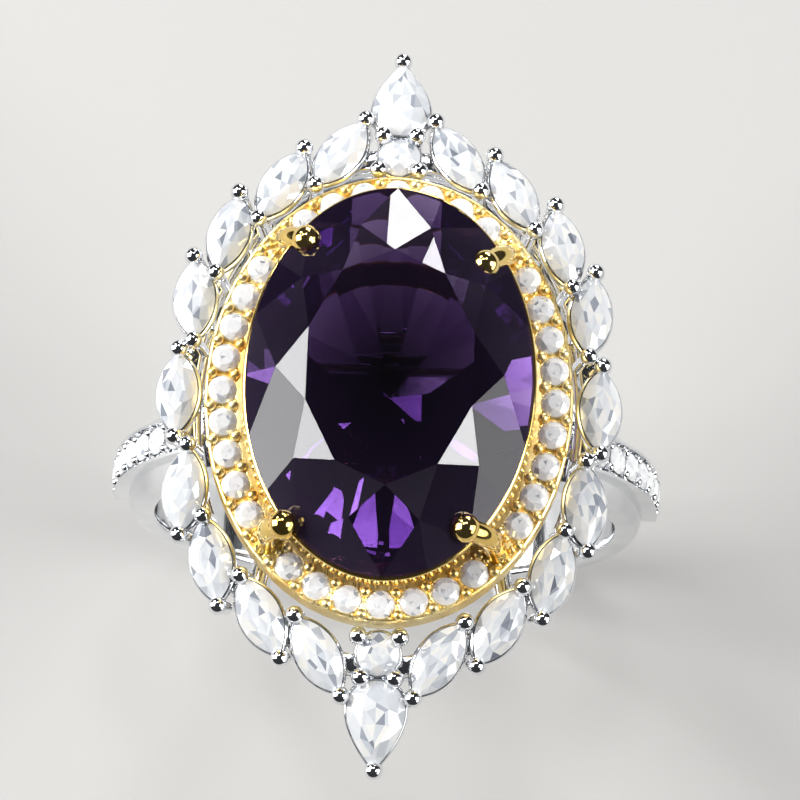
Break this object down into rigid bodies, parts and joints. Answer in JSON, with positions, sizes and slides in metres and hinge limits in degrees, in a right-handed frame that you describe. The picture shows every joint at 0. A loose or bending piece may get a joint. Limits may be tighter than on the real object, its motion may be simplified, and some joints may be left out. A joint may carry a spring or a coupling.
{
  "type": "cocktail ring",
  "caption": "Two-tone cocktail ring: oval purple stone in four gold claws, gold halo of round stones, silver halo of marquise, pear and round stones, hoop with paved shoulders.",
  "frame": {"origin": "centre of the finger hole, midway along the hoop's width", "axes": "+Z out through the table of the centre stone, +Y along the finger, which is the long way of the head, +X across the finger"},
  "size_m": [0.0206, 0.0266, 0.0266],
  "materials": {
    "silver": "rhodium-plated sterling silver, high polish",
    "gold": "yellow-gold-plated silver, high polish",
    "amethyst": "deep purple faceted stone, polished",
    "clear_stone": "colourless faceted stone, polished"
  },
  "bodies": {
    "root": {"centre_stone": "amethyst", "claw_basket": "gold", "gallery": "silver", "inner_halo": "gold", "marquise_01": "clear_stone", "marquise_02": "clear_stone", "marquise_03": "clear_stone", "marquise_04": "clear_stone", "marquise_05": "clear_stone", "marquise_06": "clear_stone", "marquise_07": "clear_stone", "marquise_08": "clear_stone", "marquise_09": "clear_stone", "marquise_10": "clear_stone", "marquise_11": "clear_stone", "marquise_12": "clear_stone", "marquise_13": "clear_stone", "marquise_14": "clear_stone", "marquise_15": "clear_stone", "marquise_16": "clear_stone", "marquise_17": "clear_stone", "marquise_18": "clear_stone", "outer_halo": "silver", "pave_01": "clear_stone", "pave_02": "clear_stone", "pave_03": "clear_stone", "pave_04": "clear_stone", "pave_05": "clear_stone", "pave_06": "clear_stone", "pave_07": "clear_stone", "pave_08": "clear_stone", "pave_09": "clear_stone", "pave_10": "clear_stone", "pave_11": "clear_stone", "pave_12": "clear_stone", "pave_13": "clear_stone", "pave_14": "clear_stone", "pave_15": "clear_stone", "pave_16": "clear_stone", "pave_17": "clear_stone", "pave_18": "clear_stone", "pave_19": "clear_stone", "pave_20": "clear_stone", "pave_21": "clear_stone", "pave_22": "clear_stone", "pave_23": "clear_stone", "pave_24": "clear_stone", "pave_25": "clear_stone", "pave_26": "clear_stone", "pave_27": "clear_stone", "pave_28": "clear_stone", "pave_29": "clear_stone", "pave_30": "clear_stone", "pave_31": "clear_stone", "pave_32": "clear_stone", "pear_01": "clear_stone", "pear_02": "clear_stone", "round_stone_01": "clear_stone", "round_stone_02": "clear_stone", "shank": "silver"}
  },
  "joints": []
}
